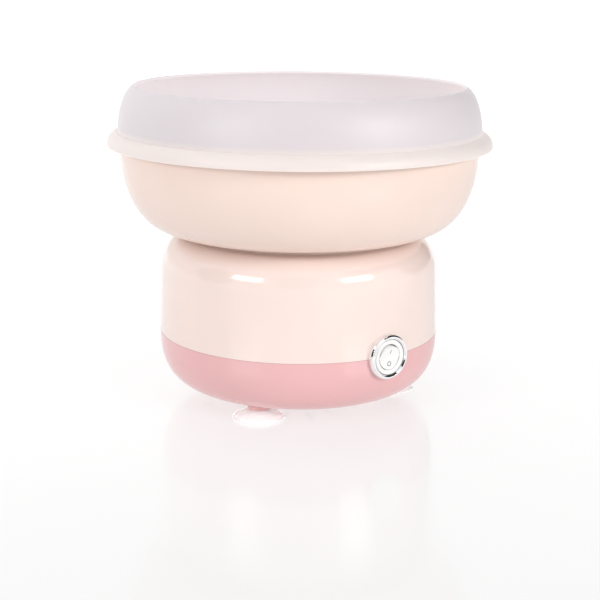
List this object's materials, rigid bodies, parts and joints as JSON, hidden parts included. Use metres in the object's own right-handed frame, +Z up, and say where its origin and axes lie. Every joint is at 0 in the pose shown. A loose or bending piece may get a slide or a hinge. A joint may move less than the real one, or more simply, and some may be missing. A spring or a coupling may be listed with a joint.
{
  "type": "cotton candy maker",
  "caption": "Household cotton candy maker: round motor housing on suction feet, spinning sugar head over a ring heater, lift-off bowl and open splash guard.",
  "frame": {"origin": "on the table, midway between the ends of the overall box, on the machine's turning axis", "axes": "+Z up along the axis of the housing, bowl and rotor; the switch faces -Y, the cable inlet faces +Y, +X is the machine's right seen from the front"},
  "size_m": [0.2704, 0.2704, 0.2237],
  "materials": {
    "pink_plastic": "glossy moulded plastic",
    "cream_plastic": "glossy moulded plastic",
    "bowl_plastic": "glossy moulded plastic",
    "milky_plastic": "translucent milky plastic",
    "clear_rubber": "clear soft suction cup rubber",
    "chrome": "bright plated",
    "white_plastic": "satin moulded plastic",
    "aluminium": "spun satin",
    "steel": "zinc plated",
    "element_steel": "heat-darkened sheath",
    "brass": "turned",
    "copper": "enamelled wire and copper segments",
    "iron": "dark laminations, magnets and carbon",
    "ceramic": "unglazed ceramic",
    "black_rubber": "matt",
    "black_plastic": "matt moulded",
    "board_green": "solder mask",
    "sleeving": "glass-fibre sleeving"
  },
  "bodies": {
    "base": {"lower_housing": "pink_plastic", "upper_housing": "cream_plastic", "suction_foot_right": "clear_rubber", "suction_foot_back": "clear_rubber", "suction_foot_left": "clear_rubber", "housing_screw_1": "steel", "housing_screw_2": "steel", "housing_screw_3": "steel", "cable_gland": "black_rubber", "switch_bezel": "chrome", "switch_body": "white_plastic", "switch_terminal_upper": "brass", "switch_terminal_lower": "brass", "motor_can": "steel", "motor_end_cap": "black_plastic", "magnet_right": "iron", "magnet_left": "iron", "bearing_top": "brass", "bearing_bottom": "brass", "brush_right": "iron", "brush_left": "iron", "motor_bracket": "steel", "motor_screw_1": "steel", "motor_screw_2": "steel", "damper_1": "black_rubber", "damper_2": "black_rubber", "damper_3": "black_rubber", "damper_screw_1": "steel", "damper_screw_2": "steel", "damper_screw_3": "steel", "heater_tray": "aluminium", "heating_element": "element_steel", "heater_insulator_1": "ceramic", "heater_insulator_2": "ceramic", "heater_insulator_3": "ceramic", "tray_screw_1": "steel", "tray_screw_2": "steel", "tray_screw_3": "steel", "thermostat": "ceramic", "circuit_board": "board_green", "rectifier": "black_plastic", "capacitor": "black_plastic", "switch_wire": "sleeving", "heater_wire": "sleeving", "thermostat_wire": "sleeving", "motor_wire": "sleeving"},
    "rotor": {"drive_shaft": "steel", "drive_pin": "steel", "armature_core": "iron", "armature_winding": "copper", "commutator": "copper", "cooling_fan": "black_plastic"},
    "head": {"floss_head_dish": "aluminium", "floss_head_cover": "aluminium", "floss_head_hub": "brass"},
    "rocker": {"switch_rocker": "white_plastic"},
    "bowl": {"bowl": "bowl_plastic"},
    "guard": {"splash_guard": "milky_plastic"}
  },
  "joints": [
    {"name": "rotor_spin", "type": "hinge", "parent": "base", "child": "rotor", "pos_m": [0, 0, 0.06], "axis": [0, 0, 1], "continuous": true},
    {"name": "head_lift", "type": "slide", "parent": "rotor", "child": "head", "axis": [0, 0, 1], "range_m": [0, 0.06]},
    {"name": "rocker_tilt", "type": "hinge", "parent": "base", "child": "rocker", "pos_m": [0, -0.101, 0.0493], "axis": [-1, 0, 0], "range_deg": [0, 18]},
    {"name": "bowl_lift", "type": "slide", "parent": "base", "child": "bowl", "axis": [0, 0, 1], "range_m": [0, 0.12]},
    {"name": "guard_lift", "type": "slide", "parent": "bowl", "child": "guard", "axis": [0, 0, 1], "range_m": [0, 0.1]}
  ]
}
